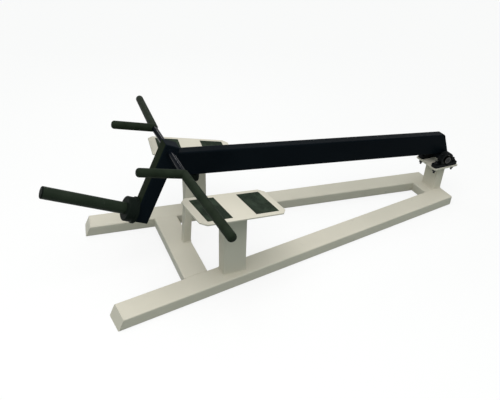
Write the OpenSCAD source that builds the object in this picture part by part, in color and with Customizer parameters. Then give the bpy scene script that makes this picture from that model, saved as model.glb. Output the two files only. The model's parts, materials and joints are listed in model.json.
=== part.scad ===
// Plate-loaded lever row machine: a splayed floor frame, two raised footplates,
// and a lever that swings on two pillow blocks and carries a handle and a plate horn.
// Millimetres. +X points to the pivot end, -X to the plate horn, +Z up.

/* [Floor frame] */
// Length from the rails' front outer corners to the rear edge
base_l = 1776; // [1500:1:1900]
// Outer width across the front ends of the rails
base_front_w = 735; // [680:1:820]
// Outer width at the rear edge
base_rear_w = 272; // [240:1:320]
// Rail tube width
rail_w = 100; // [90:1:110]
// Rail tube height
rail_h = 50; // [40:1:60]
// Wall of the frame tubes
frame_t = 3; // [2:0.5:4]
// Outer corner radius of every square tube
tube_r = 6; // [5:0.5:8]
// How far the rails' sloped noses lean back from bottom to top
rail_nose = 25; // [10:1:40]
// Thickness of the plates that close tube ends
end_cap_t = 4; // [3:0.5:6]
// Front edge of the front cross member, behind the front outer corners
front_cross_x = 302; // [260:1:330]
// Width of the front cross member
front_cross_w = 106; // [90:1:115]
// Width of the rear cross member
rear_cross_w = 103; // [90:1:115]

/* [Footplates] */
// Centre of posts and footplates, behind the front outer corners
foot_x = 508; // [480:1:540]
// Post middle inwards from the rail's middle line
post_inset = 10; // [0:1:14]
// Post length along the machine
post_l = 100; // [80:1:110]
// Post width across the machine
post_w = 60; // [50:1:64]
// Footplate middle outwards from the post's middle
foot_out = 14; // [0:1:30]
// Height of the middle of the standing face
foot_h = 374; // [330:1:420]
// Slope of the footplate, toes up
foot_slope = 10; // [5:0.5:14]
// Footplate length
foot_l = 380; // [350:1:400]
// Footplate width
foot_w = 196; // [180:1:210]
// Footplate thickness
foot_t = 6; // [4:0.5:10]
// Chamfer of the footplate's corners
foot_chamfer = 22; // [10:1:26]
// Length of an anti-slip strip
strip_l = 106; // [80:1:112]
// Width of an anti-slip strip
strip_w = 156; // [130:1:164]
// Gap between a footplate's two strips
strip_gap = 104; // [80:1:110]
// Thickness of an anti-slip strip
strip_t = 1.5; // [1:0.5:3]

/* [Pivot] */
// Pivot axis ahead of the frame's rear edge
pivot_inset = 25; // [25:1:35]
// Rear post length along the machine
rear_post_l = 50; // [40:1:50]
// Rear post width across the machine
rear_post_w = 90; // [80:1:94]
// Height of the pivot plate's top face
pivot_plate_z = 197; // [180:1:230]
// Pivot plate length along the machine
pivot_plate_l = 146; // [144:1:160]
// Pivot plate width across the machine
pivot_plate_w = 150; // [144:1:160]
// Pivot plate thickness
pivot_plate_t = 8; // [6:1:12]
// Pillow block middle from the middle plane
block_y = 52; // [50:1:54]
// Pillow block foot length
block_l = 144; // [140:1:146]
// Pillow block foot width
block_w = 38; // [36:1:40]
// Pillow block foot thickness
block_foot_t = 15; // [12:1:17]
// Shaft height above the pivot plate
block_h = 36.5; // [36:0.5:40]
// Radius of the pillow block's dome
dome_r = 37; // [33:0.5:38]
// Width of the pillow block's dome
dome_w = 30; // [26:1:34]
// Distance between a pillow block's two studs
bolt_span = 112; // [108:1:114]
// Stud diameter
bolt_d = 10; // [8:1:12]
// Thread beyond the nuts at both ends of a stud
stud_end = 10; // [4:1:14]
// How much wider the stud holes are than the studs
bolt_play = 1; // [0.5:0.5:2]

/* [Bearings] */
// Shaft diameter
shaft_d = 25; // [24:0.5:26]
// Outer ring diameter
outer_ring_d = 52; // [52:0.5:54]
// Outer ring width
outer_ring_w = 17; // [15:1:19]
// Bore of the outer ring between its lips
outer_ring_bore = 43; // [42.5:0.1:43.5]
// Inner ring outside diameter
inner_ring_d = 34; // [33.5:0.1:34.5]
// Inner ring reach towards the lever
inner_ring_in = 14; // [12:0.5:16]
// Inner ring reach away from the lever
inner_ring_out = 20; // [19:0.5:21]
// Ball diameter
ball_d = 8; // [7.6:0.1:8.2]
// Number of balls in a bearing
ball_count = 9; // [7:1:9]
// Cage wall
cage_t = 1.6; // [1:0.1:2]
// Cage width
cage_w = 10; // [9.5:0.5:12]
// Running gap around each ball
ball_gap = 0.08; // [0.05:0.01:0.1]
// Set screw diameter
set_screw_d = 5; // [4:0.5:6]

/* [Lever] */
// Lever tube width
lever_w = 50; // [44:1:54]
// Lever tube depth
lever_h = 105; // [90:1:120]
// Lever and arm tube wall
lever_t = 4; // [3:0.5:5]
// Slope of the lever at rest, plate end up
lever_tilt = 6.6; // [5:0.1:8]
// Lever underside above the pivot axis
lever_lift = 15; // [14:0.5:18]
// Top front corner of the lever from the pivot axis, along the lever
lever_reach = 1481; // [1440:1:1550]
// Bottom rear corner of the lever behind the pivot axis
lever_tail = 34; // [25:1:45]
// Cut angle of the lever's rear end
tail_cut = 30; // [15:1:35]
// Hub diameter under the lever
hub_d = 44; // [40:1:50]

/* [Drop arm and plate horn] */
// Lean of the drop arm from square to the lever
arm_angle = 19.2; // [10:0.1:22]
// Drop arm depth along the machine
arm_d = 64; // [50:1:70]
// Drop arm width across the machine
arm_w = 60; // [56:1:70]
// Drop arm length from the lever's top front corner
arm_l = 313; // [290:1:350]
// Top of the drop arm beyond the lever's top front corner
arm_rise = 45; // [42:1:60]
// Horn axis below the lever's top front corner, along the arm
horn_drop = 275.5; // [240:0.5:280]
// Horn diameter
horn_d = 49; // [45:0.5:50]
// Horn wall
horn_t = 4; // [3:0.5:6]
// How much thinner the horn's root is, inside the flange and the ring
horn_step = 0.5; // [0.5:0.5:1]
// Horn length beyond the rubber ring
horn_l = 330.5; // [250:0.5:400]
// Flange diameter
flange_d = 112; // [108:1:120]
// Flange thickness
flange_t = 8; // [5:1:12]
// Length of the collar in front of the flange
collar_l = 20; // [12:1:30]
// Diameter of the collar and the rubber ring
ring_d = 103; // [85:1:106]
// Rubber ring thickness
ring_t = 15.5; // [10:0.5:25]
// Edge rounding of horn cap and rubber ring
ring_round = 5; // [2:0.5:8]

/* [Handle] */
// Handle bar diameter
bar_d = 25; // [22:0.5:28]
// Bar axis above the lever's top face, where the bar goes through the drop arm
bar_seat = 6; // [0:0.5:12]
// Where the forward grips leave the bar, from the middle plane
junction_y = 206; // [160:1:240]
// Pitch of the handle from the lever, forward grips up
handle_pitch = 7.5; // [0:0.5:10]
// Forward bars thinner than the handle bar by
forward_thin = 3; // [2:0.5:6]
// Backward sweep of the outer grips
outer_sweep = 5.5; // [0:0.5:12]
// Downward droop of the outer grips
outer_droop = 2.5; // [0:0.5:8]
// Outer grip tip from the junction
outer_l = 396; // [250:1:440]
// Forward grip tip from the junction
forward_l = 179; // [130:1:220]
// Grip diameter
grip_d = 34; // [32:0.5:40]
// Rubber beyond the end of the bar
grip_end_t = 8; // [5:0.5:12]
// Edge rounding of a grip's end
grip_round = 12; // [6:0.5:15]

/* [Stop] */
// Stop post middle ahead of the front cross member's rear edge
stop_inset = 18; // [18:1:30]
// Stop post middle, to the right of the middle plane
stop_y = 15; // [0:1:18]
// Stop post side
stop_w = 35; // [30:1:36]
// Backward lean of the stop post
stop_lean = 4; // [0:0.5:8]
// Bumper's axis behind the place where the stop post's axis meets it
bumper_back = 13; // [0:1:15]
// Bumper diameter
bumper_d = 50; // [40:1:60]
// Bumper height
bumper_h = 36; // [25:1:45]
// Rounding of the bumper's lower edge
bumper_round = 8.5; // [3:0.5:12]
// Bumper bolt diameter
bumper_bolt_d = 8; // [6:0.5:10]
// Gap between bumper and stop at rest
stop_gap = 0.3; // [0.2:0.1:0.5]

/* [Hidden] */
$fn = 64;
cream = [0.84, 0.81, 0.74];
satin_black = [0.07, 0.08, 0.09];
rubber_black = [0.14, 0.16, 0.13];
grit_black = [0.17, 0.20, 0.17];
bright_steel = [0.75, 0.76, 0.77];
dark_steel = [0.16, 0.16, 0.17];
cast_black = [0.09, 0.09, 0.10];

// Radial gap of a sleeve, ring or bore on its seat
fit_gap = 0.05;
// Longer than the machine, for trimming
far = 3 * base_l;

// Lever frame: X along the lever, Z square to it, origin on the pivot axis
lever_top = lever_lift + lever_h;
horn_tilt = lever_tilt + arm_angle;
horn_root = flange_t + collar_l + ring_t;
horn_tip = horn_root + horn_l;
horn_r = horn_d / 2;
root_r = horn_r - horn_step;
arm_run = arm_d / cos(arm_angle);

// Foremost point of the horn cap and rearmost edge, from the pivot axis
tip_x = -lever_reach * cos(lever_tilt) + lever_top * sin(lever_tilt)
    - horn_drop * sin(horn_tilt) - (horn_tip - ring_round) * cos(horn_tilt)
    - (horn_r - ring_round) * sin(horn_tilt) - ring_round;
back_x = max(pivot_plate_l / 2, pivot_inset);

// The origin lies below the middle of the machine's length
pivot_x = -(tip_x + back_x) / 2;
pivot_z = pivot_plate_z + block_h;
rear_x = pivot_x + pivot_inset;
front_x = rear_x - base_l;
post_x = front_x + foot_x;

splay = atan((base_front_w - base_rear_w) / 2 / base_l);
nose_angle = atan(rail_nose / rail_h);
post_y = base_front_w / 2 - foot_x * tan(splay) - rail_w / 2 / cos(splay) - post_inset;
foot_y = post_y + foot_out;

// Handle bar
bar_r = bar_d / 2;
forward_r = bar_r - forward_thin / 2;
grip_r = grip_d / 2;
handle_x = -lever_reach + arm_run / 2;

// Bearings
outer_ring_r = outer_ring_d / 2;
inner_ring_r = inner_ring_d / 2;
shaft_r = shaft_d / 2;
ball_r = ball_d / 2;
ball_ring_r = (outer_ring_bore / 2 + inner_ring_r) / 2;
race_r = ball_r + ball_gap;
shaft_l = 2 * (block_y + inner_ring_out + 1);
set_screw_angle = 60;

// Fasteners
washer_d = 2 * bolt_d + 1;
washer_t = 2;
nut_d = 1.9 * bolt_d;
nut_h = 0.8 * bolt_d;
// Turn of a lock nut against the nut above it
lock_turn = 20;
bolt_end = 3;
nipple_d = 6;
nipple_h = 9;
nipple_seat = 5;
nipple_tilt = 45;

// Stop post's foot in the lever frame, its length, and the bumper's place
stop_x = front_x + front_cross_x + front_cross_w - stop_inset;
stop_foot_x = (stop_x - pivot_x) * cos(lever_tilt) - (rail_h - pivot_z) * sin(lever_tilt);
stop_foot_z = (stop_x - pivot_x) * sin(lever_tilt) + (rail_h - pivot_z) * cos(lever_tilt);
bumper_z = lever_lift - bumper_h;
stop_rise = (bumper_z - stop_foot_z) / cos(stop_lean - lever_tilt);
bumper_x = stop_foot_x + stop_rise * sin(stop_lean - lever_tilt) + bumper_back;
stop_top = bumper_z - stop_gap;
bumper_head_d = 1.6 * bumper_bolt_d;
bumper_head_h = bumper_bolt_d;
bumper_nut_h = 0.8 * bumper_bolt_d;
bumper_nut_d = 1.8 * bumper_bolt_d;
bumper_sink = 4;
bumper_bolt_l = bumper_h - bumper_sink + lever_t + bumper_nut_h + bolt_end;

// Half spaces for trimming
module ahead() { translate([-far, -far / 2, -far / 2]) cube(far); }
module behind() { translate([0, -far / 2, -far / 2]) cube(far); }
module above() { translate([-far / 2, -far / 2, 0]) cube(far); }
module below() { translate([-far / 2, -far / 2, -far]) cube(far); }

// Sections
module rounded_rect(w, h, r) {
    square([w - 2 * r, h], center = true);
    square([w, h - 2 * r], center = true);
    for (x = [-1, 1], y = [-1, 1])
        translate([x * (w / 2 - r), y * (h / 2 - r)]) circle(r);
}

module stock_section(w, h, inset) {
    rounded_rect(w - 2 * inset, h - 2 * inset, tube_r - inset);
}

module tube_section(w, h, t) {
    difference() {
        stock_section(w, h, 0);
        stock_section(w, h, t);
    }
}

module chamfered_rect(l, w, c) {
    x = l / 2;
    y = w / 2;
    polygon([[-x + c, -y], [x - c, -y], [x, -y + c], [x, y - c],
             [x - c, y], [-x + c, y], [-x, y - c], [-x, -y + c]]);
}

// Round bar or ring along Y, centred
module round_y(d, l) { rotate([90, 0, 0]) cylinder(d = d, h = l, center = true); }

// The right side mirrors the left
module right_of() { mirror([0, 1, 0]) children(); }

// Frames that pieces are placed in
module at_rail() { translate([front_x, -base_front_w / 2, 0]) rotate([0, 0, splay]) children(); }
module at_foot() {
    translate([post_x, -foot_y, foot_h]) rotate([0, 0, splay]) rotate([0, foot_slope, 0]) children();
}
module at_block() { translate([pivot_x, -block_y, pivot_plate_z]) children(); }
module at_bearing() { translate([pivot_x, -block_y, pivot_z]) children(); }
module on_lever() { translate([pivot_x, 0, pivot_z]) rotate([0, lever_tilt, 0]) children(); }
module on_arm() {
    on_lever() translate([-lever_reach, 0, lever_top]) rotate([0, arm_angle, 0]) children();
}
module on_horn() { on_arm() translate([0, 0, -horn_drop]) rotate([0, -90, 0]) children(); }
module on_handle() {
    on_lever() translate([handle_x, 0, lever_top + bar_seat]) rotate([0, handle_pitch, 0]) children();
}
module on_bumper() { on_lever() translate([bumper_x, 0, bumper_z]) children(); }

// Floor frame
module rail_stock(inset) {
    translate([-rail_w, rail_w / 2, rail_h / 2]) rotate([90, 0, 90])
        linear_extrude(base_l + base_front_w) stock_section(rail_w, rail_h, inset);
}

module behind_nose(back) {
    at_rail() translate([back / cos(nose_angle), 0, 0]) rotate([0, nose_angle, 0]) behind();
}

module rail_ends(back) {
    difference() {
        intersection() {
            at_rail() children();
            behind_nose(back);
        }
        translate([rear_x - back, 0, 0]) behind();
    }
}

module left_rail() {
    color(cream) rail_ends(end_cap_t) difference() {
        rail_stock(0);
        rail_stock(frame_t);
    }
}

module right_rail() { right_of() left_rail(); }

module left_rail_front_cap() {
    color(cream) difference() {
        rail_ends(0) rail_stock(0);
        behind_nose(end_cap_t);
    }
}

module right_rail_front_cap() { right_of() left_rail_front_cap(); }

module left_rail_rear_cap() {
    color(cream) intersection() {
        rail_ends(0) rail_stock(0);
        translate([rear_x - end_cap_t, 0, 0]) behind();
    }
}

module right_rail_rear_cap() { right_of() left_rail_rear_cap(); }

module cross_tube(x, w) {
    difference() {
        translate([x + w / 2, 0, rail_h / 2]) rotate([90, 0, 0])
            linear_extrude(base_front_w, center = true) tube_section(w, rail_h, frame_t);
        for (side = [0, 1]) mirror([0, side, 0])
            at_rail() translate([-far / 2, rail_w - far, -far / 2]) cube(far);
    }
}

module front_cross_member() { color(cream) cross_tube(front_x + front_cross_x, front_cross_w); }
module rear_cross_member() { color(cream) cross_tube(rear_x - rear_cross_w, rear_cross_w); }

// Footplates
module left_foot_post() {
    color(cream) difference() {
        translate([post_x, -post_y, rail_h])
            linear_extrude(foot_h) tube_section(post_l, post_w, frame_t);
        at_foot() translate([0, 0, -foot_t]) above();
    }
}

module right_foot_post() { right_of() left_foot_post(); }

module left_footplate() {
    color(cream) at_foot() translate([0, 0, -foot_t])
        linear_extrude(foot_t) chamfered_rect(foot_l, foot_w, foot_chamfer);
}

module right_footplate() { right_of() left_footplate(); }

module strip(end) {
    color(grit_black) at_foot() translate([end * (strip_gap + strip_l) / 2, 0, 0])
        linear_extrude(strip_t) square([strip_l, strip_w], center = true);
}

module left_front_strip() { strip(-1); }
module left_rear_strip() { strip(1); }
module right_front_strip() { right_of() strip(-1); }
module right_rear_strip() { right_of() strip(1); }

// Stop that the lever rests on, its top level with the lever's underside at rest
module stop_stock(inset) {
    translate([stop_x, stop_y, rail_h]) rotate([0, stop_lean, 0]) translate([0, 0, -stop_rise])
        linear_extrude(3 * stop_rise) stock_section(stop_w, stop_w, inset);
}

module stop_post() {
    color(cream) difference() {
        stop_stock(0);
        stop_stock(frame_t);
        translate([0, 0, rail_h]) below();
        on_lever() translate([0, 0, stop_top - end_cap_t]) above();
    }
}

module stop_post_cap() {
    color(cream) difference() {
        intersection() {
            stop_stock(0);
            on_lever() translate([0, 0, stop_top - end_cap_t]) above();
        }
        on_lever() translate([0, 0, stop_top]) above();
    }
}

// Pivot tower
module rear_post() {
    color(cream) translate([pivot_x, 0, rail_h])
        linear_extrude(pivot_plate_z - pivot_plate_t - rail_h)
            tube_section(rear_post_l, rear_post_w, frame_t);
}

module bolt_sites() {
    for (side = [-1, 1], end = [-1, 1])
        translate([pivot_x + end * bolt_span / 2, side * block_y, pivot_plate_z]) children();
}

module pivot_plate() {
    color(cream) difference() {
        translate([pivot_x, 0, pivot_plate_z - pivot_plate_t])
            linear_extrude(pivot_plate_t) rounded_rect(pivot_plate_l, pivot_plate_w, tube_r);
        bolt_sites() translate([0, 0, -2 * pivot_plate_t])
            cylinder(d = bolt_d + bolt_play, h = 3 * pivot_plate_t);
    }
}

module at_nipple() {
    at_bearing() rotate([0, -nipple_tilt, 0]) translate([0, 0, dome_r]) children();
}

module left_pillow_block() {
    color(cast_black) difference() {
        union() {
            at_block() linear_extrude(block_foot_t) rounded_rect(block_l, block_w, block_w / 3);
            intersection() {
                at_bearing() round_y(2 * dome_r, dome_w);
                at_block() above();
            }
        }
        at_bearing() round_y(outer_ring_d + 2 * fit_gap, 2 * block_w);
        for (end = [-1, 1])
            at_block() translate([end * bolt_span / 2, 0, -block_foot_t])
                cylinder(d = bolt_d + bolt_play, h = 3 * block_foot_t);
        at_nipple() translate([0, 0, -nipple_seat]) cylinder(d = nipple_d + 2 * fit_gap, h = 2 * nipple_seat);
    }
}

module right_pillow_block() { right_of() left_pillow_block(); }

module grease_nipples() {
    color(dark_steel) for (side = [0, 1]) mirror([0, side, 0]) at_nipple() {
        translate([0, 0, -nipple_seat]) cylinder(d = nipple_d, h = nipple_seat + nipple_h / 2);
        translate([0, 0, nipple_h / 2]) cylinder(d1 = nipple_d, d2 = nipple_d / 2, h = nipple_h / 2);
    }
}

// Bearings, turned about the shaft
module turned_ring(r1, r2, low, high) {
    rotate([90, 0, 0]) rotate_extrude() difference() {
        translate([r1, low]) square([r2 - r1, high - low]);
        translate([ball_ring_r, 0]) circle(race_r);
    }
}

module left_outer_ring() {
    color(bright_steel) at_bearing()
        turned_ring(outer_ring_bore / 2, outer_ring_r, -outer_ring_w / 2, outer_ring_w / 2);
}

module right_outer_ring() { right_of() left_outer_ring(); }

module set_screw_sites() {
    for (turn = [-1, 1])
        at_bearing() translate([0, -(inner_ring_out - set_screw_d), 0])
            rotate([0, turn * set_screw_angle, 0]) translate([0, 0, shaft_r + fit_gap]) children();
}

module left_inner_ring() {
    color(bright_steel) difference() {
        at_bearing() turned_ring(shaft_r + fit_gap, inner_ring_r, -inner_ring_in, inner_ring_out);
        set_screw_sites() cylinder(d = set_screw_d + 2 * fit_gap, h = inner_ring_d, center = true);
    }
}

module right_inner_ring() { right_of() left_inner_ring(); }

module bearing_set_screws() {
    color(dark_steel) for (side = [0, 1]) mirror([0, side, 0])
        set_screw_sites() cylinder(d = set_screw_d, h = inner_ring_r - shaft_r - fit_gap);
}

module ball_sites() {
    for (i = [0 : ball_count - 1])
        at_bearing() rotate([0, i * 360 / ball_count, 0]) translate([0, 0, ball_ring_r]) children();
}

module left_balls() { color(bright_steel) ball_sites() sphere(ball_r); }
module right_balls() { right_of() left_balls(); }

module left_cage() {
    color(bright_steel) difference() {
        at_bearing() rotate([90, 0, 0]) rotate_extrude()
            translate([ball_ring_r - cage_t / 2, -cage_w / 2]) square([cage_t, cage_w]);
        ball_sites() sphere(race_r);
    }
}

module right_cage() { right_of() left_cage(); }

// Pillow block fasteners
module bearing_studs() {
    top = block_foot_t + washer_t + nut_h + stud_end;
    bottom = -pivot_plate_t - washer_t - 2 * nut_h - stud_end;
    color(dark_steel) bolt_sites() translate([0, 0, bottom]) cylinder(d = bolt_d, h = top - bottom);
}

module washer() {
    difference() {
        cylinder(d = washer_d, h = washer_t);
        translate([0, 0, -washer_t]) cylinder(d = bolt_d + 2 * fit_gap, h = 3 * washer_t);
    }
}

module bearing_washers() {
    color(dark_steel) bolt_sites() {
        translate([0, 0, block_foot_t]) washer();
        translate([0, 0, -pivot_plate_t - washer_t]) washer();
    }
}

module nut() {
    difference() {
        cylinder(d = nut_d, h = nut_h, $fn = 6);
        translate([0, 0, -nut_h]) cylinder(d = bolt_d + 2 * fit_gap, h = 3 * nut_h);
    }
}

module bearing_nuts() {
    color(dark_steel) bolt_sites() {
        translate([0, 0, block_foot_t + washer_t]) nut();
        translate([0, 0, -pivot_plate_t - washer_t - nut_h]) nut();
    }
}

module bearing_lock_nuts() {
    color(dark_steel) bolt_sites() translate([0, 0, -pivot_plate_t - washer_t - 2 * nut_h])
        rotate(lock_turn) nut();
}

module pivot_shaft() { color(dark_steel) translate([pivot_x, 0, pivot_z]) round_y(shaft_d, shaft_l); }

module pivot_hub() {
    color(satin_black) on_lever() difference() {
        round_y(hub_d, lever_w);
        round_y(shaft_d + 2 * fit_gap, 2 * lever_w);
        translate([0, 0, lever_lift]) above();
    }
}

// Lever
module lever_stock(inset) {
    translate([-lever_reach, 0, lever_lift + lever_h / 2]) rotate([90, 0, 90])
        linear_extrude(lever_reach + lever_tail) stock_section(lever_w, lever_h, inset);
}

module behind_tail(back) {
    translate([lever_tail - back / cos(tail_cut), 0, lever_lift]) rotate([0, -tail_cut, 0]) behind();
}

module lever_tube() {
    color(satin_black) difference() {
        on_lever() difference() {
            lever_stock(0);
            lever_stock(lever_t);
            behind_tail(end_cap_t);
        }
        on_arm() translate([arm_d, 0, 0]) ahead();
        on_bumper() cylinder(d = bumper_bolt_d + 2 * fit_gap, h = bumper_h + 2 * lever_t);
    }
}

module lever_rear_cap() {
    color(satin_black) on_lever() intersection() {
        difference() {
            lever_stock(0);
            behind_tail(0);
        }
        behind_tail(end_cap_t);
    }
}

// Drop arm
module arm_piece(low, high) {
    on_arm() translate([arm_d / 2, 0, low]) linear_extrude(high - low) children();
}

module drop_arm() {
    color(satin_black) difference() {
        arm_piece(end_cap_t - arm_l, arm_rise - end_cap_t) tube_section(arm_d, arm_w, lever_t);
        bar_stock(fit_gap);
    }
}

module drop_arm_top_cap() {
    color(satin_black) arm_piece(arm_rise - end_cap_t, arm_rise) stock_section(arm_d, arm_w, 0);
}

module drop_arm_foot_cap() {
    color(satin_black) arm_piece(-arm_l, end_cap_t - arm_l) stock_section(arm_d, arm_w, 0);
}

// Plate horn, along its own Z from the arm's front face
module horn_tube() {
    color(satin_black) on_horn() difference() {
        union() {
            cylinder(r = root_r, h = horn_root);
            translate([0, 0, horn_root]) cylinder(r = horn_r, h = horn_l - ring_round);
        }
        translate([0, 0, -1]) cylinder(r = horn_r - horn_t, h = horn_tip);
    }
}

module horn_flange() {
    color(satin_black) on_horn() difference() {
        union() {
            cylinder(d = flange_d, h = flange_t);
            cylinder(d = ring_d, h = flange_t + collar_l);
        }
        translate([0, 0, -1]) cylinder(r = root_r + fit_gap, h = horn_root);
    }
}

module round_edged_ring(r1, r2, h, r) {
    rotate_extrude() {
        translate([r1, 0]) square([r2 - r - r1, h]);
        translate([r1, 0]) square([r2 - r1, h - r]);
        translate([r2 - r, h - r]) intersection() {
            circle(r);
            square(r);
        }
    }
}

module horn_ring() {
    color(rubber_black) on_horn() translate([0, 0, flange_t + collar_l])
        round_edged_ring(root_r + fit_gap, ring_d / 2, ring_t, ring_round);
}

module horn_cap() {
    color(rubber_black) on_horn() {
        translate([0, 0, horn_tip - ring_round]) intersection() {
            translate([0, 0, -ring_round]) round_edged_ring(0, horn_r, 2 * ring_round, ring_round);
            above();
        }
        translate([0, 0, horn_tip - horn_d])
            cylinder(r = horn_r - horn_t - fit_gap, h = horn_d - ring_round);
    }
}

// Handle, along the bar's own Y
module bar_stock(gap) { on_handle() round_y(bar_d + 2 * gap, 2 * junction_y); }

module handle_bar() { color(satin_black) bar_stock(0); }

// Left end of the handle: one bar goes outwards and one forwards, in a single rubber sleeve
module at_left_end() { on_handle() translate([0, -junction_y, 0]) children(); }
module at_outer() { at_left_end() rotate([outer_droop, 0, outer_sweep]) rotate([90, 0, 0]) children(); }
module at_forward() { at_left_end() rotate([0, -90, 0]) children(); }

module outer_stock(gap) {
    at_outer() translate([0, 0, -bar_d]) cylinder(r = bar_r + gap, h = outer_l - grip_end_t + bar_d);
}

module forward_stock(gap) { at_forward() cylinder(r = forward_r + gap, h = forward_l - grip_end_t); }

module left_outer_bar() {
    color(satin_black) intersection() {
        outer_stock(0);
        at_left_end() translate([-far / 2, -far, -far / 2]) cube(far);
    }
}

module right_outer_bar() { right_of() left_outer_bar(); }

module left_forward_bar() {
    color(satin_black) difference() {
        forward_stock(0);
        bar_stock(0);
        outer_stock(0);
    }
}

module right_forward_bar() { right_of() left_forward_bar(); }

module left_grip() {
    color(rubber_black) difference() {
        union() {
            at_outer() round_edged_ring(0, grip_r, outer_l, grip_round);
            at_forward() round_edged_ring(0, grip_r, forward_l, grip_round);
            at_left_end() sphere(grip_r);
        }
        outer_stock(fit_gap);
        forward_stock(fit_gap);
        bar_stock(fit_gap);
    }
}

module right_grip() { right_of() left_grip(); }

// Rubber bumper under the lever
module bumper() {
    color(rubber_black) on_bumper() difference() {
        translate([0, 0, bumper_h]) mirror([0, 0, 1])
            round_edged_ring(0, bumper_d / 2, bumper_h, bumper_round);
        translate([0, 0, -1]) cylinder(d = bumper_bolt_d + 2 * fit_gap, h = bumper_h + 2);
        translate([0, 0, -1]) cylinder(d = bumper_head_d + 2 * fit_gap, h = bumper_sink + bumper_head_h + 1);
    }
}

module bumper_bolt() {
    color(dark_steel) on_bumper() {
        translate([0, 0, bumper_sink]) cylinder(d = bumper_head_d, h = bumper_head_h);
        translate([0, 0, bumper_sink]) cylinder(d = bumper_bolt_d, h = bumper_bolt_l);
    }
}

module bumper_nut() {
    color(dark_steel) on_bumper() translate([0, 0, bumper_h + lever_t]) difference() {
        cylinder(d = bumper_nut_d, h = bumper_nut_h, $fn = 6);
        translate([0, 0, -1]) cylinder(d = bumper_bolt_d + 2 * fit_gap, h = bumper_nut_h + 2);
    }
}

left_rail();
right_rail();
left_rail_front_cap();
right_rail_front_cap();
left_rail_rear_cap();
right_rail_rear_cap();
front_cross_member();
rear_cross_member();
left_foot_post();
right_foot_post();
left_footplate();
right_footplate();
left_front_strip();
left_rear_strip();
right_front_strip();
right_rear_strip();
stop_post();
stop_post_cap();
rear_post();
pivot_plate();
left_pillow_block();
right_pillow_block();
left_outer_ring();
right_outer_ring();
left_balls();
right_balls();
left_cage();
right_cage();
left_inner_ring();
right_inner_ring();
bearing_set_screws();
grease_nipples();
bearing_studs();
bearing_washers();
bearing_nuts();
bearing_lock_nuts();
pivot_shaft();
pivot_hub();
lever_tube();
lever_rear_cap();
drop_arm();
drop_arm_top_cap();
drop_arm_foot_cap();
horn_tube();
horn_flange();
horn_ring();
horn_cap();
handle_bar();
left_outer_bar();
right_outer_bar();
left_forward_bar();
right_forward_bar();
left_grip();
right_grip();
bumper();
bumper_bolt();
bumper_nut();
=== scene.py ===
"""Looks of a plate-loaded lever row machine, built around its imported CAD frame. Metres, Z up."""

import json
import math

import bmesh
import bpy
from mathutils import Matrix, Vector


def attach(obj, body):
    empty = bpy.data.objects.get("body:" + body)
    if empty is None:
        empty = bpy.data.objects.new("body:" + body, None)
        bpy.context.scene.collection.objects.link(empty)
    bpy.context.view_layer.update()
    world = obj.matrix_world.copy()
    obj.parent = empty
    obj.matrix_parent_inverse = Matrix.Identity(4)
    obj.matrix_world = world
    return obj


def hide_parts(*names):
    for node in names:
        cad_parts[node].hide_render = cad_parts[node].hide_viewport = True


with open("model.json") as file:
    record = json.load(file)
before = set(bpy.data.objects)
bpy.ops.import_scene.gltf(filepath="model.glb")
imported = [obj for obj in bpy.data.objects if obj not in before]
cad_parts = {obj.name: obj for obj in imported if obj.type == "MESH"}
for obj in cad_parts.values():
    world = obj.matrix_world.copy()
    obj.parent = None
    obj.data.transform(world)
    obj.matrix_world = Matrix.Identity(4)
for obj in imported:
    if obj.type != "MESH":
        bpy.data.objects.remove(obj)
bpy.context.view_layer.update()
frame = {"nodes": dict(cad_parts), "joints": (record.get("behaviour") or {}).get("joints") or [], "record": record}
nodes = frame["nodes"]
bodies = frame["record"]["behaviour"]["bodies"]
body_of = {node: body for body, members in bodies.items() for node in members}
slot_of = {part["node"]: part["material_slot"] for part in frame["record"]["subparts"]}

# Camera, fitted to the photo's straight edges
IMAGE_W = 500.0
FOCAL_PX = 536.5
SENSOR_MM = 36.0
VIEW_DEPTH = 100.0
CAM_YAW = math.radians(24.85)
CAM_PITCH = math.radians(33.23)
CAM_ROLL = math.radians(-2.04)
CAM_FROM_PIVOT = Vector((-1.9077, -1.829, 1.2885))

# Sizes repeated from the CAD source
MM = 0.001
BASE_L = 1776 * MM
BASE_FRONT_W = 735 * MM
BASE_REAR_W = 272 * MM
RAIL_W = 100 * MM
RAIL_H = 50 * MM
TUBE_R = 6 * MM
FRONT_CROSS_X = 302 * MM
FRONT_CROSS_W = 106 * MM
REAR_CROSS_W = 103 * MM
FOOT_X = 508 * MM
FOOT_H = 374 * MM
FOOT_T = 6 * MM
FOOT_OUT = 14 * MM
FOOT_SLOPE = math.radians(10)
POST_L = 100 * MM
POST_W = 60 * MM
POST_INSET = 10 * MM
STOP_INSET = 18 * MM
STOP_Y = 15 * MM
STOP_W = 35 * MM
PIVOT_INSET = 25 * MM
REAR_POST_L = 50 * MM
REAR_POST_W = 90 * MM
PIVOT_PLATE_Z = 197 * MM
PIVOT_PLATE_T = 8 * MM
BLOCK_Y = 52 * MM
BLOCK_FOOT_T = 15 * MM
BOLT_SPAN = 112 * MM
BOLT_D = 10 * MM
STUD_END = 10 * MM
NUT_H = 0.8 * BOLT_D
WASHER_T = 2 * MM
SHAFT_D = 25 * MM
HUB_D = 44 * MM
LEVER_W = 50 * MM
LEVER_H = 105 * MM
LEVER_LIFT = 15 * MM
LEVER_REACH = 1481 * MM
LEVER_TILT = math.radians(6.6)
ARM_ANGLE = math.radians(19.2)
ARM_D = 64 * MM
ARM_W = 60 * MM
ARM_L = 313 * MM
HORN_DROP = 275.5 * MM
FLANGE_D = 112 * MM
BAR_D = 25 * MM
BAR_SEAT = 6 * MM

# Eased edges
PLATE_EASE = 1.2 * MM
CAP_EASE = 0.8 * MM
FINE_EASE = 0.7 * MM
ARM_CAP_EASE = 3.2 * MM
EASE_STEPS = 2
ARM_CAP_EASE_STEPS = 5
ROUND_PROFILE = 0.5
EASE_ABOVE = math.radians(35)
EASED_SHARP = math.radians(30)

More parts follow.
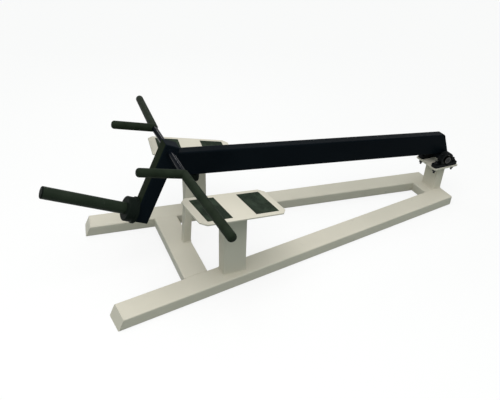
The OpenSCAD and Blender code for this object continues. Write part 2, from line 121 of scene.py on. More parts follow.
# Clean-up of CAD meshes: points this close are one, and faces this level are one
SAME_POINT = 0.001 * MM
SAME_PLANE = math.radians(0.5)
# Cosine above which a face counts as facing a direction
FACING_COS = 0.9

# Castings
CAST_VOXEL = 1.0 * MM
CAST_SMOOTH = 0.5
CAST_SMOOTH_ROUNDS = 6

# Weld beads: their radii, and the ripple along them
BEAD = 3.0 * MM
FINE_BEAD = 2.2 * MM
BAR_BEAD = 3.4 * MM
FILL_BEAD = 4.1 * MM
FILL_IN = 2.2 * MM
FILL_DOWN = 4.0 * MM
FLANGE_SEAM_IN = 1.5 * MM
BEAD_STEP = 0.9 * MM
BEAD_SIDES = 8
BEAD_END = 0.45
BEAD_END_GROWTH = 0.2
RIPPLE_L = 3.2 * MM
RIPPLE_LOW = 0.94
RIPPLE_RISE = 0.1
DRIFT_RISE = 0.03
DRIFT_PER_M = 90
CORNER_STEPS = 5
CIRCLE_STEPS = 48

# Screw threads
THREAD_PITCH = 1.5 * MM
THREAD_DEPTH = 0.9 * MM
THREAD_STEPS = 6
THREAD_SIDES = 24
THREAD_LEAD_IN = 1.2 * MM
THREAD_SHARP = math.radians(70)

# Shaft ends
SHAFT_CHAMFER = 1.5 * MM
DRILL_R = 3.0 * MM
DRILL_DEPTH = 2.6 * MM

# Bearing seals: radii of the dished ring, its lips and the depth of its dish
SEAL_Y = 7.4 * MM
SEAL_R_IN = 17.3 * MM
SEAL_R_MID = 19.4 * MM
SEAL_R_OUT = 21.4 * MM
SEAL_LIP_IN = 0.5 * MM
SEAL_LIP_OUT = 0.4 * MM
SEAL_DISH_FRONT = 0.5 * MM
SEAL_DISH_BACK = 1.0 * MM
SEAL_STEPS = 72
SEAL_SHARP = math.radians(40)

# Floor, sky and lamps
WHITE = (1.0, 1.0, 1.0)
FLOOR_HALF = 20.0
FLOOR_COLOR = (0.97, 0.97, 0.97)
FLOOR_BOUNCE = (0.20, 0.24, 0.23)
FLOOR_GLOW = 0.8
SKY_LIGHT = 0.40
SKY_TINT = (0.88, 1.0, 0.96)
HORIZON_LIGHT = 1.0
HORIZON_TOP = 0.08
HORIZON_FADE = 0.2
LAMP_COLOR = (1.0, 0.975, 0.965)
SUN_STRENGTH = 0.40 * math.pi
SUN_SOFTNESS = math.radians(90)
SUN_TILT = math.radians(6)
FRONT_LAMP_AT = Vector((-0.8, -0.75, 2.1))
FRONT_LAMP_AIM = Vector((-0.8, -0.75, 0.0))
FRONT_LAMP_SIZE = 1.6
FRONT_LAMP_WATTS = 17.5
BACK_LAMP_AT = Vector((-0.05, 2.0, 1.6))
BACK_LAMP_AIM = Vector((-0.53, -0.1, 0.45))
BACK_LAMP_SIZE = 0.3
BACK_LAMP_WATTS = 4.0

# Places worked out from the sizes
joints = {joint["name"]: joint for joint in frame["joints"]}
pivot_at = Vector(joints["lever_swing"]["pos_m"])
rear_x = pivot_at.x + PIVOT_INSET
front_x = rear_x - BASE_L
post_x = front_x + FOOT_X
splay = math.atan((BASE_FRONT_W - BASE_REAR_W) / 2 / BASE_L)
post_y = BASE_FRONT_W / 2 - FOOT_X * math.tan(splay) - RAIL_W / 2 / math.cos(splay) - POST_INSET
foot_y = post_y + FOOT_OUT
lever_top = LEVER_LIFT + LEVER_H
half_lever = LEVER_W / 2
half_arm = ARM_W / 2

# Frames of the left footplate, the lever and the drop arm
foot_frame = (
    Matrix.Translation((post_x, -foot_y, FOOT_H))
    @ Matrix.Rotation(splay, 4, "Z")
    @ Matrix.Rotation(FOOT_SLOPE, 4, "Y")
)
lever_frame = Matrix.Translation(pivot_at) @ Matrix.Rotation(LEVER_TILT, 4, "Y")
arm_frame = (
    lever_frame
    @ Matrix.Translation((-LEVER_REACH, 0, lever_top))
    @ Matrix.Rotation(ARM_ANGLE, 4, "Y")
)
arm_up = arm_frame.to_3x3() @ Vector((0, 0, 1))
arm_front = arm_frame.to_3x3() @ Vector((-1, 0, 0))

# Colour sockets of a mix node, which share their names with its other sockets
MIX_A = 6
MIX_B = 7
MIX_RESULT = 2


# Materials
class Nodes:
    """Short ways to add nodes to one node tree."""

    def __init__(self, tree):
        self.tree = tree

    def put(self, value, socket):
        """Gives a socket a value of its own, or links another node's output to it."""
        if isinstance(value, bpy.types.NodeSocket):
            self.tree.links.new(value, socket)
        elif socket.type == "RGBA":
            socket.default_value = (*value, 1)
        else:
            socket.default_value = value

    def add(self, kind, inputs, **settings):
        """A new node; its inputs go by name, or by number where names repeat."""
        node = self.tree.nodes.new("ShaderNode" + kind)
        for key, value in settings.items():
            setattr(node, key, value)
        for key, value in inputs.items():
            self.put(value, node.inputs[key])
        return node

    def coordinates(self, kind):
        return self.add("TexCoord", {}).outputs[kind]

    def span(self, source, low, high, to_low=0.0, to_high=1.0):
        """Stretches the values between low and high over another range."""
        limits = {"From Min": low, "From Max": high, "To Min": to_low, "To Max": to_high}
        return self.add("MapRange", {"Value": source, **limits}).outputs["Result"]

    def math(self, kind, first, second):
        return self.add("Math", {0: first, 1: second}, operation=kind).outputs["Value"]

    def mix(self, share, first, second):
        node = self.add("Mix", {"Factor": share, MIX_A: first, MIX_B: second}, data_type="RGBA")
        return node.outputs[MIX_RESULT]

    def surface(self, kind, color):
        return self.add(kind, {"Color": color}).outputs[0]

    def mix_surfaces(self, share, first, second):
        return self.add("MixShader", {0: share, 1: first, 2: second}).outputs[0]

    def seen_rays(self):
        """1 for what is seen directly, in gloss or through glass, 0 for what only lights."""
        path = self.add("LightPath", {}).outputs
        plain_or_gloss = self.math("MAXIMUM", path["Is Camera Ray"], path["Is Glossy Ray"])
        return self.math("MAXIMUM", plain_or_gloss, path["Is Transmission Ray"])


class Shader(Nodes):
    """A principled material whose patterns follow the object's own coordinates."""

    def __init__(self, name):
        self.mat = bpy.data.materials.new(name)
        self.mat.use_nodes = True
        super().__init__(self.mat.node_tree)
        self.bsdf = self.tree.nodes["Principled BSDF"]
        self.coord = self.coordinates("Object")

    def give(self, name, value):
        self.put(value, self.bsdf.inputs[name])

    def noise(self, scale, detail=3.0, rough=0.5, stretch=(1, 1, 1)):
        vector = self.add("Mapping", {"Vector": self.coord, "Scale": stretch}).outputs["Vector"]
        values = {"Vector": vector, "Scale": scale, "Detail": detail, "Roughness": rough}
        return self.add("TexNoise", values).outputs["Fac"]

    def cells(self, scale):
        return self.add("TexVoronoi", {"Vector": self.coord, "Scale": scale}).outputs["Distance"]

    def facing(self, direction, low, high):
        """0 to 1 as the surface at rest turns towards a direction."""
        normal = self.coordinates("Normal")
        node = self.add("VectorMath", {0: normal, 1: direction}, operation="DOT_PRODUCT")
        return self.span(node.outputs["Value"], low, high)

    def vary_rough(self, source, rough, spread):
        """Roughness that strays from its middle value with a pattern."""
        low = rough - spread
        high = rough + spread
        self.give("Roughness", self.span(source, low=0.3, high=0.7, to_low=low, to_high=high))

    def bump(self, height, strength, distance):
        node = self.add("Bump", {"Height": height, "Strength": strength, "Distance": distance})
        self.give("Normal", node.outputs["Normal"])


def paint_tone(shade, light, dark):
    """The slightly uneven colour of sprayed paint."""
    patches = shade.span(shade.noise(scale=4.0, detail=4.0), low=0.35, high=0.65)
    return shade.mix(patches, dark, light)


def paint_film(shade, rough, specular):
    """The gloss and the fine orange peel of sprayed paint."""
    shade.vary_rough(shade.noise(scale=30.0, detail=4.0), rough, spread=0.06)
    shade.bump(shade.noise(scale=550.0, detail=2.0), strength=0.12, distance=0.6 * MM)
    shade.give("Specular IOR Level", specular)


def powder_coat(name, light, dark, scuff, rough, specular):
    """Sprayed paint with scuff marks in a few areas."""
    shade = Shader(name)
    marks = shade.span(shade.noise(scale=18.0, detail=8.0, rough=0.7), low=0.62, high=0.72)
    areas = shade.span(shade.noise(scale=2.5), low=0.5, high=0.6)
    scuffed = shade.math("MULTIPLY", marks, areas)
    shade.give("Base Color", shade.mix(scuffed, paint_tone(shade, light, dark), scuff))
    paint_film(shade, rough, specular)
    return shade.mat


def lit_front_arm(name, light, dark, lighter, lit_front_dim, front, rough, specular):
    """Black paint whose front faces are painted a lighter olive: painted light where the lamps fall on the front,
    varied in patches.
    """
    shade = Shader(name)
    patches = shade.span(shade.noise(scale=14.0, detail=5.0), low=0.35, high=0.7)
    lit_front_tone = shade.mix(patches, lighter, lit_front_dim)
    # Painted light: faces turned towards the front take the lighter olive
    on_front = shade.facing(front, low=0.8, high=0.95)
    shade.give("Base Color", shade.mix(on_front, paint_tone(shade, light, dark), lit_front_tone))
    paint_film(shade, rough, specular)
    return shade.mat


def worn_horn(name, paint, edge, steel):
    """Dull paint with rings that plates have scratched into it."""
    shade = Shader(name)
    rings = shade.noise(scale=55.0, detail=6.0, rough=0.65, stretch=(6.0, 0.4, 1.0))
    areas = shade.span(shade.noise(scale=14.0, detail=3.0), low=0.45, high=0.65)
    scratched = shade.math("MULTIPLY", shade.span(rings, low=0.6, high=0.68), areas)
    patches = shade.span(shade.noise(scale=12.0, detail=5.0), low=0.4, high=0.65)
    shade.give("Base Color", shade.mix(scratched, shade.mix(patches, paint, edge), steel))
    shade.give("Roughness", shade.span(rings, low=0.35, high=0.7, to_low=0.5, to_high=0.34))
    shade.bump(rings, strength=0.1, distance=0.4 * MM)
    shade.give("Specular IOR Level", 0.06)
    return shade.mat


def moulded_rubber(name, light, dark, rough, specular):
    """Dull rubber with a fine pebbled skin."""
    shade = Shader(name)
    patches = shade.span(shade.noise(scale=25.0, detail=5.0), low=0.35, high=0.65)
    shade.give("Base Color", shade.mix(patches, dark, light))
    shade.vary_rough(shade.noise(scale=60.0, detail=4.0), rough, spread=0.08)
    pebbles = shade.math("ADD", shade.noise(scale=900.0, detail=2.0), shade.cells(scale=420.0))
    shade.bump(pebbles, strength=0.25, distance=0.5 * MM)
    shade.give("Specular IOR Level", specular)
    return shade.mat


def grit_sheet(name, light, dark):
    """Coarse grit with light specks, worn lighter in places."""
    shade = Shader(name)
    specks = shade.noise(scale=700.0, detail=2.0)
    tone = shade.mix(shade.span(specks, low=0.45, high=0.7), dark, light)
    lighter = shade.span(shade.noise(scale=22.0, detail=5.0), low=0.45, high=0.7)
    shade.give("Base Color", shade.mix(lighter, tone, light))
    grains = shade.math("ADD", shade.cells(scale=520.0), specks)
    shade.bump(grains, strength=0.7, distance=1.2 * MM)
    shade.give("Roughness", 0.92)
    shade.give("Specular IOR Level", 0.1)
    return shade.mat


def casting(name, light, dark):
    """Black paint over the rough skin of a casting."""
    shade = Shader(name)
    patches = shade.span(shade.noise(scale=40.0, detail=6.0), low=0.4, high=0.65)
    shade.give("Base Color", shade.mix(patches, dark, light))
    shade.vary_rough(shade.noise(scale=120.0, detail=3.0), rough=0.6, spread=0.1)
    skin = shade.math("ADD", shade.noise(scale=320.0, detail=4.0), shade.noise(scale=90.0, detail=3.0))
    shade.bump(skin, strength=0.4, distance=1.0 * MM)
    shade.give("Specular IOR Level", 0.08)
    return shade.mat


def bare_steel(name, light, dark, rough, stretch):
    """Steel with the fine lines of its machining."""
    shade = Shader(name)
    lines = shade.noise(scale=160.0, detail=4.0, rough=0.6, stretch=stretch)
    shade.give("Base Color", shade.mix(shade.span(lines, low=0.3, high=0.7), dark, light))
    shade.vary_rough(lines, rough, spread=0.09)
    shade.bump(lines, strength=0.08, distance=0.3 * MM)
    shade.give("Metallic", 1.0)
    return shade.mat


CREAM = powder_coat(
    "cream_paint",
    light=(0.680, 0.637, 0.545),
    dark=(0.640, 0.602, 0.512),
    scuff=(0.51, 0.49, 0.425),
    rough=0.5,
    specular=0.2,
)
BLACK = powder_coat(
    "black_paint",
    light=(0.0038, 0.0064, 0.0090),
    dark=(0.0028, 0.0049, 0.0071),
    scuff=(0.009, 0.011, 0.013),
    rough=0.36,
    specular=0.016,
)
GLOSS_BLACK = powder_coat(
    "handle_paint",
    light=(0.0036, 0.0052, 0.0080),
    dark=(0.0025, 0.0038, 0.0060),
    scuff=(0.014, 0.017, 0.021),
    rough=0.18,
    specular=0.05,
)
# Dark olive paint made lighter all over: a painted sheen that stands in for the highlight along the collar's side
COLLAR_SHEEN = powder_coat(
    "collar_paint_sheen",
    light=(0.0100, 0.0140, 0.0115),
    dark=(0.0075, 0.0105, 0.0088),
    scuff=(0.013, 0.016, 0.014),
    rough=0.36,
    specular=0.010,
)
# The drop arm's black paint, with painted light in olive on its front faces
ARM_PAINT = lit_front_arm(
    "arm_paint",
    light=(0.0060, 0.0094, 0.0132),
    dark=(0.0048, 0.0076, 0.0108),
    lighter=(0.0118, 0.0182, 0.0086),
    lit_front_dim=(0.00944, 0.01456, 0.00688),
    front=arm_front,
    rough=0.36,
    specular=0.006,
)
HORN = worn_horn(
    "horn_paint",
    paint=(0.0130, 0.0205, 0.0125),
    edge=(0.0180, 0.0262, 0.0170),
    steel=(0.040, 0.046, 0.039),
)
GRIP = moulded_rubber(
    "grip_rubber",
    light=(0.0152, 0.0230, 0.0135),
    dark=(0.0105, 0.0168, 0.0094),
    rough=0.62,
    specular=0.06,
)
RUBBER = moulded_rubber(
    "black_rubber",
    light=(0.0080, 0.0115, 0.0090),
    dark=(0.0050, 0.0075, 0.0058),
    rough=0.5,
    specular=0.015,
)
GRIT = grit_sheet("anti_slip", light=(0.041, 0.058, 0.040), dark=(0.014, 0.020, 0.014))
CAST = casting("cast_black", light=(0.0065, 0.0078, 0.0085), dark=(0.0035, 0.0044, 0.0050))
STEEL = bare_steel(
    "bearing_steel",
    light=(0.085, 0.085, 0.080),
    dark=(0.045, 0.045, 0.043),
    rough=0.31,
    stretch=(1, 14, 1),
)
DARK_STEEL = bare_steel(
    "blackened_steel",
    light=(0.034, 0.035, 0.037),
    dark=(0.017, 0.0175, 0.019),
    rough=0.37,
    stretch=(2, 2, 9),
)

SLOT_MATERIALS = {
    "frame_paint": CREAM,
    "lever_paint": BLACK,
    "handle_steel": GLOSS_BLACK,
    "grip_rubber": GRIP,
    "black_rubber": RUBBER,
    "anti_slip": GRIT,
    "cast_housing": CAST,
    "bearing_steel": STEEL,
    "blackened_steel": DARK_STEEL,
}
OWN_MATERIALS = {
    "horn_tube": HORN,
    "horn_flange": COLLAR_SHEEN,
    "horn_ring": COLLAR_SHEEN,
    "drop_arm": ARM_PAINT,
    "drop_arm_top_cap": ARM_PAINT,
    "drop_arm_foot_cap": ARM_PAINT,
}


def material_of(node):
    """A node's own material where it has one, or else its slot's."""
    return OWN_MATERIALS.get(node, SLOT_MATERIALS[slot_of[node]])


def paint(obj, material):
    obj.data.materials.clear()
    obj.data.materials.append(material)


for node_name, node_obj in nodes.items():
    paint(node_obj, material_of(node_name))


# Pieces and meshes
def new_object(name, data):
    obj = bpy.data.objects.new(name, data)
    bpy.context.scene.collection.objects.link(obj)
    return obj


def add_piece(name, mesh, body, material):
    """A piece that moves with a body and has a material."""
    obj = new_object(name, mesh)
    paint(obj, material)
    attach(obj, body)
    return obj


def stand_in(name, mesh, node):
    """A piece that takes over a CAD node's place, body and material; the node is hidden."""
    obj = add_piece(name, mesh, body_of[node], material_of(node))
    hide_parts(node)


def mesh_from(bm, name):
    """A finished mesh; frees the working one."""
    mesh = bpy.data.meshes.new(name)
    bm.to_mesh(mesh)
    bm.free()
    return mesh


def smooth_all(mesh):
    for face in mesh.polygons:
        face.use_smooth = True


def smooth_by_angle(mesh, limit):
    """Smooth shading that stays sharp at edges which bend more than the limit."""
    bm = bmesh.new()
    bm.from_mesh(mesh)
    for face in bm.faces:
        face.smooth = True
    for edge in bm.edges:
        edge.smooth = not (edge.is_manifold and edge.calc_face_angle(0) > limit)
    bm.to_mesh(mesh)
    bm.free()


def welded_copy(node):
    """A joined-up copy of a CAD node's mesh, with its flat faces whole."""
    bm = bmesh.new()
    bm.from_mesh(nodes[node].data)
    bmesh.ops.remove_doubles(bm, verts=bm.verts, dist=SAME_POINT)
    bmesh.ops.dissolve_limit(
        bm, angle_limit=SAME_PLANE, verts=bm.verts, edges=bm.edges, use_dissolve_boundaries=False
    )
    return bm


def with_modifiers(mesh, settings):
    """The mesh after modifiers, each given as its kind and its values."""
    obj = new_object(mesh.name, mesh)
    for kind, values in settings:
        modifier = obj.modifiers.new(kind, kind)
        for key, value in values.items():
            setattr(modifier, key, value)
    bpy.context.view_layer.update()
    depsgraph = bpy.context.evaluated_depsgraph_get()
    done = bpy.data.meshes.new_from_object(
        obj.evaluated_get(depsgraph), preserve_all_data_layers=True, depsgraph=depsgraph
    )
    bpy.data.objects.remove(obj)
    return done


def skin(bm, rings, closed):
    """Joins rings of points into a surface, with end faces unless the run is closed."""
    sides = len(rings[0])
    pairs = list(zip(rings, rings[1:]))
    if closed:
        pairs.append((rings[-1], rings[0]))
    for near, far in pairs:
        shift = min(range(sides), key=lambda k: (near[0].co - far[k].co).length)
        for k in range(sides):
            n = (k + 1) % sides
            bm.faces.new((near[k], near[n], far[(n + shift) % sides], far[(k + shift) % sides]))
    if not closed:
        bm.faces.new(rings[0][::-1])
        bm.faces.new(rings[-1])


# Plates, caps, nuts and strips with eased edges
def eased_edges(node, width, steps=EASE_STEPS, facing=None):
    """Stands for a CAD node, with its sharp edges eased so that they catch the light.

    With a direction, only the rims of the faces that look that way are eased.
    """
    bm = welded_copy(node)
    edges = [e for e in bm.edges if e.is_manifold and e.calc_face_angle(0) > EASE_ABOVE]
    if facing is not None:
        edges = [e for e in edges if any(f.normal.dot(facing) > FACING_COS for f in e.link_faces)]
    bmesh.ops.bevel(
        bm,
        geom=edges,
        offset=width,
        segments=steps,
        profile=ROUND_PROFILE,
        affect="EDGES",
        clamp_overlap=True,
    )
    name = node + "_eased"
    mesh = mesh_from(bm, name)
    smooth_by_angle(mesh, EASED_SHARP)
    stand_in(name, with_modifiers(mesh, [("WEIGHTED_NORMAL", {"keep_sharp": True})]), node)


PLATES = ("left_footplate", "right_footplate", "pivot_plate", "horn_flange")
CAPS = (
    "left_rail_front_cap",
    "right_rail_front_cap",
    "left_rail_rear_cap",
    "right_rail_rear_cap",
    "lever_rear_cap",
    "stop_post_cap",
    "drop_arm_foot_cap",
)
FASTENERS = ("bearing_nuts", "bearing_lock_nuts", "bearing_washers")
STRIPS = ("left_front_strip", "left_rear_strip", "right_front_strip", "right_rear_strip")

eased_edges("drop_arm_top_cap", ARM_CAP_EASE, ARM_CAP_EASE_STEPS, arm_up)
for ease, group in ((PLATE_EASE, PLATES), (CAP_EASE, CAPS), (FINE_EASE, FASTENERS + STRIPS)):
    for eased_node in group:
        eased_edges(eased_node, ease)


# Pillow blocks
def cast_block(node):
    """Stands for a pillow block: a casting with soft fillets and rounded edges."""
    name = node + "_cast"
    mesh = with_modifiers(mesh_from(welded_copy(node), name), [
        ("REMESH", {"mode": "VOXEL", "voxel_size": CAST_VOXEL}),
        ("SMOOTH", {"factor": CAST_SMOOTH, "iterations": CAST_SMOOTH_ROUNDS}),
    ])
    smooth_all(mesh)
    stand_in(name, mesh, node)


for housing in ("left_pillow_block", "right_pillow_block"):
    cast_block(housing)


# Weld beads
def resample(points, step, closed):
    """Points at about one step from each other along straight runs."""
    stops = [Vector(p) for p in points]
    if closed:
        stops.append(stops[0])
    line = []
    for start, stop in zip(stops, stops[1:]):
        count = max(1, round((stop - start).length / step))
        line += [start.lerp(stop, i / count) for i in range(count)]
    if not closed:
        line.append(stops[-1])
    return line


def bead_rings(bm, line, closed, radius):
    """Rings of points round a line, which swell and shrink as a weld's ripples do."""
    count = len(line)
    turns = [2 * math.pi * k / BEAD_SIDES for k in range(BEAD_SIDES)]
    rings = []
    run = 0.0
    for i, centre in enumerate(line):
        ahead = line[(i + 1) % count] if closed or i + 1 < count else centre
        behind = line[i - 1] if closed or i > 0 else centre
        along = (ahead - behind).normalized()
        side = along.orthogonal().normalized()
        up = along.cross(side)
        from_end = min(i, count - 1 - i)
        end = 1.0 if closed else min(1.0, BEAD_END + BEAD_END_GROWTH * from_end)
        ripple = RIPPLE_LOW + RIPPLE_RISE * abs(math.sin(math.pi * run / RIPPLE_L))
        drift = DRIFT_RISE * math.sin(DRIFT_PER_M * run)
        size = radius * end * (ripple + drift)
        rings.append([
            bm.verts.new(centre + size * (math.cos(turn) * side + math.sin(turn) * up)) for turn in turns
        ])
        run += (ahead - centre).length
    return rings


def weld(name, body, slot, paths, radius):
    """Rippled beads along paths; each path is its points and whether it is closed."""
    bm = bmesh.new()
    for points, closed in paths:
        line = resample(points, BEAD_STEP, closed)
        skin(bm, bead_rings(bm, line, closed, radius), closed)
    bmesh.ops.recalc_face_normals(bm, faces=bm.faces)
    mesh = mesh_from(bm, name)
    smooth_all(mesh)
    add_piece(name, mesh, body, SLOT_MATERIALS[slot])


def corner_loop(half_l, half_w, radius):
    """A rounded rectangle in XY."""
    loop = []
    for quarter, (sign_x, sign_y) in enumerate(((1, 1), (-1, 1), (-1, -1), (1, -1))):
        for i in range(CORNER_STEPS + 1):
            turn = math.pi / 2 * (quarter + i / CORNER_STEPS)
            x = sign_x * (half_l - radius) + radius * math.cos(turn)
            y = sign_y * (half_w - radius) + radius * math.sin(turn)
            loop.append(Vector((x, y, 0)))
    return loop


def circle(radius):
    turns = [2 * math.pi * i / CIRCLE_STEPS for i in range(CIRCLE_STEPS)]
    return [Vector((radius * math.cos(turn), radius * math.sin(turn), 0)) for turn in turns]


def placed(matrix, points):
    return [matrix @ p for p in points]


def moved(points, x, y, z):
    return placed(Matrix.Translation((x, y, z)), points)


def both_sides(points, closed):
    """A path on the left and its mirror image on the right."""
    return [(points, closed), ([Vector((p.x, -p.y, p.z)) for p in points], closed)]


def up_to_foot(point):
    """The place above a point on the underside of the left footplate."""
    normal = foot_frame.to_3x3() @ Vector((0, 0, 1))
    under = foot_frame @ Vector((0, 0, -FOOT_T))
    rise = (under - point).dot(normal) / normal.z
    return point + Vector((0, 0, rise))


def post_welds():
    """Beads round the foot and the head of both footplate posts."""
    foot = moved(corner_loop(POST_L / 2, POST_W / 2, TUBE_R), post_x, -post_y, RAIL_H)
    head = [up_to_foot(p) for p in foot]
    weld("post_welds", "base", "frame_paint", both_sides(foot, True) + both_sides(head, True), BEAD)


def inner_face_y(x):
    """Distance of a rail's inner face from the middle plane."""
    return BASE_FRONT_W / 2 - (x - front_x) * math.tan(splay) - RAIL_W / math.cos(splay)


def cross_member_welds():
    """Seams up the cross members' ends, and fills flush with the top of the rails' rounded edges."""
    seams = []
    fills = []
    members = ((front_x + FRONT_CROSS_X, FRONT_CROSS_W), (rear_x - REAR_CROSS_W, REAR_CROSS_W))
    for low_x, width in members:
        high_x = low_x + width
        for x in (low_x, high_x):
            seam = [Vector((x, -inner_face_y(x), z)) for z in (TUBE_R, RAIL_H - TUBE_R)]
            seams += both_sides(seam, False)
        fill_ends = (low_x + TUBE_R, high_x - TUBE_R)
        fill = [Vector((x, -inner_face_y(x) - FILL_IN, RAIL_H - FILL_DOWN)) for x in fill_ends]
        fills += both_sides(fill, False)
    weld("cross_member_welds", "base", "frame_paint", seams, FINE_BEAD)
    weld("cross_member_fills", "base", "frame_paint", fills, FILL_BEAD)


def tower_welds():
    """Beads round the rear post's foot and head and the stop post's foot."""
    tower = corner_loop(REAR_POST_L / 2, REAR_POST_W / 2, TUBE_R)
    stop = corner_loop(STOP_W / 2, STOP_W / 2, TUBE_R)
    stop_x = front_x + FRONT_CROSS_X + FRONT_CROSS_W - STOP_INSET
    loops = [
        moved(tower, pivot_at.x, 0, RAIL_H),
        moved(tower, pivot_at.x, 0, PIVOT_PLATE_Z - PIVOT_PLATE_T),
        moved(stop, stop_x, STOP_Y, RAIL_H),
    ]
    weld("tower_welds", "base", "frame_paint", [(loop, True) for loop in loops], BEAD)


def arm_seam():
    """The lever's section, slid along the lever onto the drop arm's rear face."""
    low = LEVER_LIFT + TUBE_R
    high = lever_top - TUBE_R
    inner = half_lever - TUBE_R
    section = (
        (half_lever, low),
        (half_lever, high),
        (inner, lever_top),
        (-inner, lever_top),
        (-half_lever, high),
        (-half_lever, low),
        (-inner, LEVER_LIFT),
        (inner, LEVER_LIFT),
    )
    to_arm = arm_frame.inverted() @ lever_frame
    along = (to_arm.to_3x3() @ Vector((1, 0, 0))).normalized()
    seam = []
    for y, z in section:
        point = to_arm @ Vector((-LEVER_REACH, y, z))
        seam.append(arm_frame @ (point + along * ((ARM_D - point.x) / along.x)))
    return seam


def hub_seams():
    """Seams along both sides of the hub, under the lever."""
    run = math.sqrt((HUB_D / 2) ** 2 - LEVER_LIFT ** 2)
    inner = half_lever - TUBE_R
    return [
        placed(lever_frame, [Vector((x, y, LEVER_LIFT)) for y in (-inner, inner)]) for x in (-run, run)
    ]


def flange_seams():
    """Seams down the drop arm's front edges, where the horn's flange sits on them."""
    run = math.sqrt((FLANGE_D / 2) ** 2 - half_arm ** 2)
    low = max(-HORN_DROP - run, TUBE_R - ARM_L)
    seam_y = half_arm - FLANGE_SEAM_IN
    return [
        placed(arm_frame, [Vector((FLANGE_SEAM_IN, y, z)) for z in (low, run - HORN_DROP)])
        for y in (-seam_y, seam_y)
    ]


def lever_welds():
    """Beads round the lever's end, along the hub and beside the horn's flange."""
    open_seams = [(seam, False) for seam in hub_seams() + flange_seams()]
    weld("lever_welds", "lever", "lever_paint", [(arm_seam(), True)] + open_seams, FINE_BEAD)


def handle_bar_welds():
    """Rings of weld where the handle bar goes through the drop arm."""
    x = ARM_D / math.cos(ARM_ANGLE) / 2 - LEVER_REACH
    upright = Matrix.Rotation(math.pi / 2, 4, "X")
    rings = []
    for y in (-half_arm, half_arm):
        at_side = Matrix.Translation((x, y, lever_top + BAR_SEAT)) @ upright
        rings.append((placed(lever_frame @ at_side, circle(BAR_D / 2)), True))
    weld("handle_bar_welds", "lever", "lever_paint", rings, BAR_BEAD)


post_welds()
cross_member_welds()
tower_welds()
lever_welds()
handle_bar_welds()


# Threaded studs
def threaded_rod(bm, foot, length, radius):
    """A vertical rod with a screw thread and tapered ends."""
    rows = round(length / THREAD_PITCH * THREAD_STEPS)
    rings = []
    for i in range(rows + 1):
        z = length * i / rows
        taper = THREAD_LEAD_IN - min(z, length - z, THREAD_LEAD_IN)
        ring = []
        for k in range(THREAD_SIDES):
            phase = (z / THREAD_PITCH - k / THREAD_SIDES) % 1.0
            reach = min(radius - THREAD_DEPTH * abs(2 * phase - 1), radius - taper)
            turn = 2 * math.pi * k / THREAD_SIDES
            ring.append(bm.verts.new(foot + Vector((reach * math.cos(turn), reach * math.sin(turn), z))))
        rings.append(ring)
    skin(bm, rings, False)


def threaded_studs():
    """Stands for the four studs that hold the pillow blocks."""
    low = PIVOT_PLATE_Z - PIVOT_PLATE_T - WASHER_T - 2 * NUT_H - STUD_END
    high = PIVOT_PLATE_Z + BLOCK_FOOT_T + WASHER_T + NUT_H + STUD_END
    bm = bmesh.new()
    for end in (-1, 1):
        for side in (-1, 1):
            foot = Vector((pivot_at.x + end * BOLT_SPAN / 2, side * BLOCK_Y, low))
            threaded_rod(bm, foot, high - low, BOLT_D / 2)
    mesh = mesh_from(bm, "threaded_studs")
    smooth_by_angle(mesh, THREAD_SHARP)
    stand_in("threaded_studs", mesh, "bearing_studs")


threaded_studs()


# Pivot shaft
def turned_shaft(node):
    """Stands for the pivot shaft, with chamfered ends and drilled centres."""
    bm = welded_copy(node)
    ends = [f for f in bm.faces if abs(f.normal.y) > FACING_COS]
    rims = list({e for f in ends for e in f.edges})
    bmesh.ops.inset_individual(bm, faces=ends, thickness=SHAFT_D / 2 - DRILL_R, use_even_offset=True)
    for face in ends:
        inward = face.normal * -DRILL_DEPTH
        for centre in bmesh.ops.poke(bm, faces=[face])["verts"]:
            centre.co += inward
    bmesh.ops.bevel(bm, geom=rims, offset=SHAFT_CHAMFER, segments=1, affect="EDGES")
    name = node + "_turned"
    mesh = mesh_from(bm, name)
    smooth_by_angle(mesh, EASED_SHARP)
    stand_in(name, mesh, node)


turned_shaft("pivot_shaft")


# Bearing seals
def seal(name, y, outward):
    """A dished ring that closes the gap between a bearing's rings."""
    profile = (
        (SEAL_R_IN, 0.0),
        (SEAL_R_IN, SEAL_LIP_IN),
        (SEAL_R_MID, -SEAL_DISH_FRONT),
        (SEAL_R_OUT, SEAL_LIP_OUT),
        (SEAL_R_OUT, 0.0),
        (SEAL_R_MID, -SEAL_DISH_BACK),
    )
    bm = bmesh.new()
    rings = []
    for i in range(SEAL_STEPS):
        turn = 2 * math.pi * i / SEAL_STEPS
        rings.append([
            bm.verts.new(pivot_at + Vector((r * math.cos(turn), y + outward * out, r * math.sin(turn))))
            for r, out in profile
        ])
    skin(bm, rings, True)
    bmesh.ops.recalc_face_normals(bm, faces=bm.faces)
    mesh = mesh_from(bm, name)
    smooth_by_angle(mesh, SEAL_SHARP)
    add_piece(name, mesh, "base", RUBBER)


for side_name, side_sign in (("left", -1), ("right", 1)):
    seal(side_name + "_outer_seal", side_sign * (BLOCK_Y + SEAL_Y), side_sign)
    seal(side_name + "_inner_seal", side_sign * (BLOCK_Y - SEAL_Y), -side_sign)


# Floor, light and camera
def make_floor():
    """A wide pale floor, bright where it is seen and dimmer in the light that it throws back."""
    low = -FLOOR_HALF
    high = FLOOR_HALF
    mesh = bpy.data.meshes.new("floor")
    mesh.from_pydata([(low, low, 0), (high, low, 0), (high, high, 0), (low, high, 0)], [], [(0, 1, 2, 3)])
    material = bpy.data.materials.new("floor_white")
    material.use_nodes = True
    mesh.materials.append(material)
    shade = Nodes(material.node_tree)
    shade.tree.nodes.remove(shade.tree.nodes["Principled BSDF"])
    pale = shade.surface("BsdfDiffuse", FLOOR_COLOR)
    bounce = shade.surface("BsdfDiffuse", FLOOR_BOUNCE)
    bright = shade.mix_surfaces(FLOOR_GLOW, pale, shade.surface("Emission", WHITE))
    surface = shade.mix_surfaces(shade.seen_rays(), bounce, bright)
    shade.put(surface, shade.tree.nodes["Material Output"].inputs["Surface"])
    floor = new_object("floor", mesh)


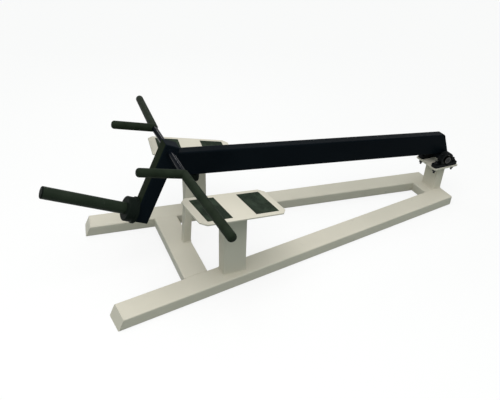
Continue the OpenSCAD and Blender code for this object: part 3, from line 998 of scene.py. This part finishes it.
def make_sky():
    """Even light from all sides, tinted a little, and a bright horizon where it is seen."""
    world = bpy.data.worlds.new("studio")
    bpy.context.scene.world = world
    world.use_nodes = True
    shade = Nodes(world.node_tree)
    seen = shade.seen_rays()
    height = shade.add("SeparateXYZ", {"Vector": shade.coordinates("Generated")}).outputs["Z"]
    seen_light = shade.span(height, HORIZON_TOP, HORIZON_FADE, HORIZON_LIGHT, SKY_LIGHT)
    background = shade.tree.nodes["Background"]
    shade.put(shade.mix(seen, SKY_TINT, WHITE), background.inputs["Color"])
    shade.put(shade.span(seen, 0.0, 1.0, SKY_LIGHT, seen_light), background.inputs["Strength"])


def sun_lamp(name, tilt, softness, strength):
    """Very soft light from above, tilted a little about X."""
    data = bpy.data.lights.new(name, "SUN")
    data.energy = strength
    data.color = LAMP_COLOR
    data.angle = softness
    new_object(name, data).rotation_euler = (tilt, 0, 0)


def area_lamp(name, at, aim, size, watts):
    """A square lamp at one place, aimed at another."""
    data = bpy.data.lights.new(name, "AREA")
    data.energy = watts
    data.color = LAMP_COLOR
    data.size = size
    turn = (at - aim).to_track_quat("Z", "Y").to_matrix().to_4x4()
    new_object(name, data).matrix_world = Matrix.Translation(at) @ turn


def make_camera():
    """The camera at the photo's viewing angle."""
    level = math.cos(CAM_PITCH)
    look = Vector((math.sin(CAM_YAW) * level, math.cos(CAM_YAW) * level, -math.sin(CAM_PITCH)))
    right = Vector((math.cos(CAM_YAW), -math.sin(CAM_YAW), 0))
    down = look.cross(right)
    rolled_right = math.cos(CAM_ROLL) * right + math.sin(CAM_ROLL) * down
    rolled_down = math.cos(CAM_ROLL) * down - math.sin(CAM_ROLL) * right
    turn = Matrix((rolled_right, -rolled_down, -look)).transposed().to_4x4()
    data = bpy.data.cameras.new("camera")
    data.sensor_fit = "HORIZONTAL"
    data.sensor_width = SENSOR_MM
    data.lens = FOCAL_PX / IMAGE_W * SENSOR_MM
    data.clip_end = VIEW_DEPTH
    camera = new_object("camera", data)
    camera.matrix_world = Matrix.Translation(pivot_at + CAM_FROM_PIVOT) @ turn
    bpy.context.scene.camera = camera


make_floor()
make_sky()
sun_lamp("key", SUN_TILT, SUN_SOFTNESS, SUN_STRENGTH)
area_lamp("front_lamp", FRONT_LAMP_AT, FRONT_LAMP_AIM, FRONT_LAMP_SIZE, FRONT_LAMP_WATTS)
area_lamp("back_lamp", BACK_LAMP_AT, BACK_LAMP_AIM, BACK_LAMP_SIZE, BACK_LAMP_WATTS)
make_camera()
bpy.context.scene.view_settings.view_transform = "Standard"
